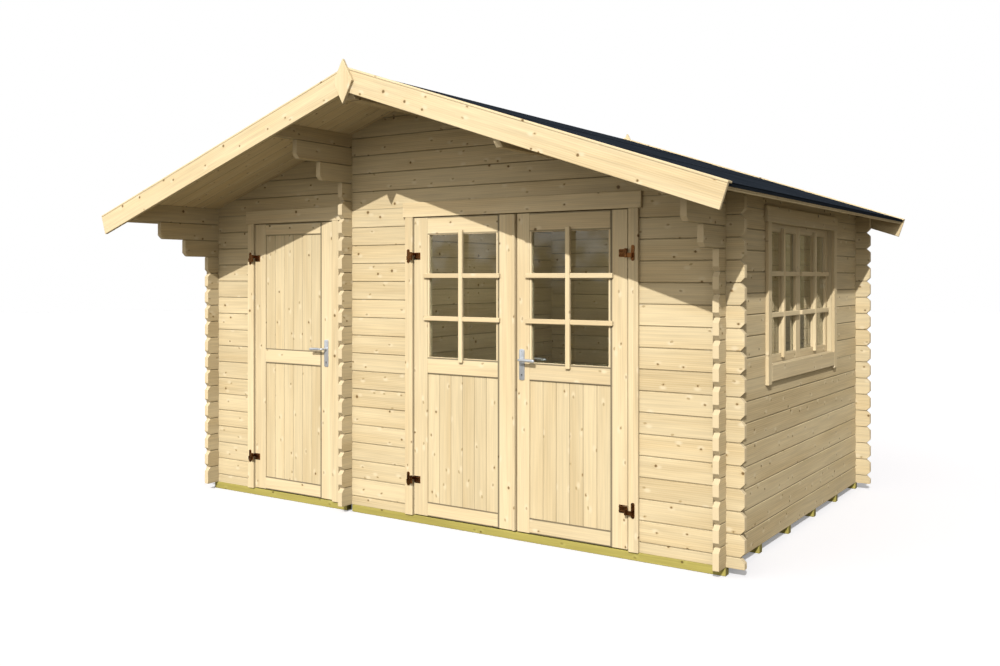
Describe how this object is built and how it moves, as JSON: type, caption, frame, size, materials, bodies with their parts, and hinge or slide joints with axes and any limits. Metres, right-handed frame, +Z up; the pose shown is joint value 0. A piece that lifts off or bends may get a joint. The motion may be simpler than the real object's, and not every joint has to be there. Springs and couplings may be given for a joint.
{
  "type": "garden shed",
  "caption": "Log-wall garden shed with a deep front gable, a boarded store door, glazed main doors, a side window and a felt roof, standing on treated timber beams.",
  "frame": {"origin": "centre of the box at ground level, under the ridge", "axes": "+X to the right across the front, +Y from front to back, +Z up"},
  "size_m": [4.3818, 3.463, 2.6917],
  "materials": {
    "spruce": "planed, untreated",
    "treated_timber": "sawn, pressure treated",
    "roofing_felt": "mineral-faced bitumen felt, matt",
    "hinge_bronze": "bronze lacquer",
    "lever_steel": "satin",
    "pane_glass": "clear"
  },
  "bodies": {
    "shed": {"foundation_beams": "treated_timber", "floor_boards": "spruce", "front_wall_left": "spruce", "front_wall_middle": "spruce", "front_wall_right": "spruce", "front_gable": "spruce", "left_wall": "spruce", "back_wall": "spruce", "partition_wall": "spruce", "right_wall_lower": "spruce", "right_wall_front": "spruce", "right_wall_back": "spruce", "right_wall_upper": "spruce", "ridge_purlin": "spruce", "right_purlin": "spruce", "left_roof_boards": "spruce", "right_roof_boards": "spruce", "left_felt": "roofing_felt", "right_felt": "roofing_felt", "eave_laths": "spruce", "front_bargeboards": "spruce", "back_bargeboards": "spruce", "barge_strips": "spruce", "finials": "spruce", "single_door_frame": "spruce", "single_door_casing": "spruce", "double_door_frame": "spruce", "double_door_casing": "spruce", "hinge_pins": "hinge_bronze", "window_lining": "spruce", "window_casing": "spruce", "window_sashes": "spruce", "window_glass": "pane_glass"},
    "store_door": {"single_leaf": "spruce", "single_panels": "spruce", "single_straps": "hinge_bronze", "single_lever_plate": "lever_steel"},
    "store_lever": {"single_lever": "lever_steel"},
    "left_door": {"left_leaf": "spruce", "left_panel": "spruce", "left_glass": "pane_glass", "left_straps": "hinge_bronze", "meeting_strip": "spruce"},
    "right_door": {"right_leaf": "spruce", "right_panel": "spruce", "right_glass": "pane_glass", "right_straps": "hinge_bronze", "right_lever_plate": "lever_steel"},
    "main_lever": {"right_lever": "lever_steel"}
  },
  "joints": [
    {"name": "store_door_hinge", "type": "hinge", "parent": "shed", "child": "store_door", "pos_m": [-1.487, -1.0295, 0.267], "axis": [0, 0, -1], "range_deg": [0, 105]},
    {"name": "store_lever_turn", "type": "hinge", "parent": "store_door", "child": "store_lever", "pos_m": [-0.813, -1.0015, 1.031], "axis": [0, -1, 0], "range_deg": [0, 40], "stiffness_Nm_per_rad": 0.6, "springref_deg": -22.92},
    {"name": "left_door_hinge", "type": "hinge", "parent": "shed", "child": "left_door", "pos_m": [-0.088, -1.0295, 0.267], "axis": [0, 0, -1], "range_deg": [0, 105]},
    {"name": "right_door_hinge", "type": "hinge", "parent": "shed", "child": "right_door", "pos_m": [1.364, -1.0295, 0.267], "axis": [0, 0, 1], "range_deg": [0, 105]},
    {"name": "main_lever_turn", "type": "hinge", "parent": "right_door", "child": "main_lever", "pos_m": [0.698, -1.0015, 1.031], "axis": [0, 1, 0], "range_deg": [0, 40], "stiffness_Nm_per_rad": 0.6, "springref_deg": -22.92}
  ]
}
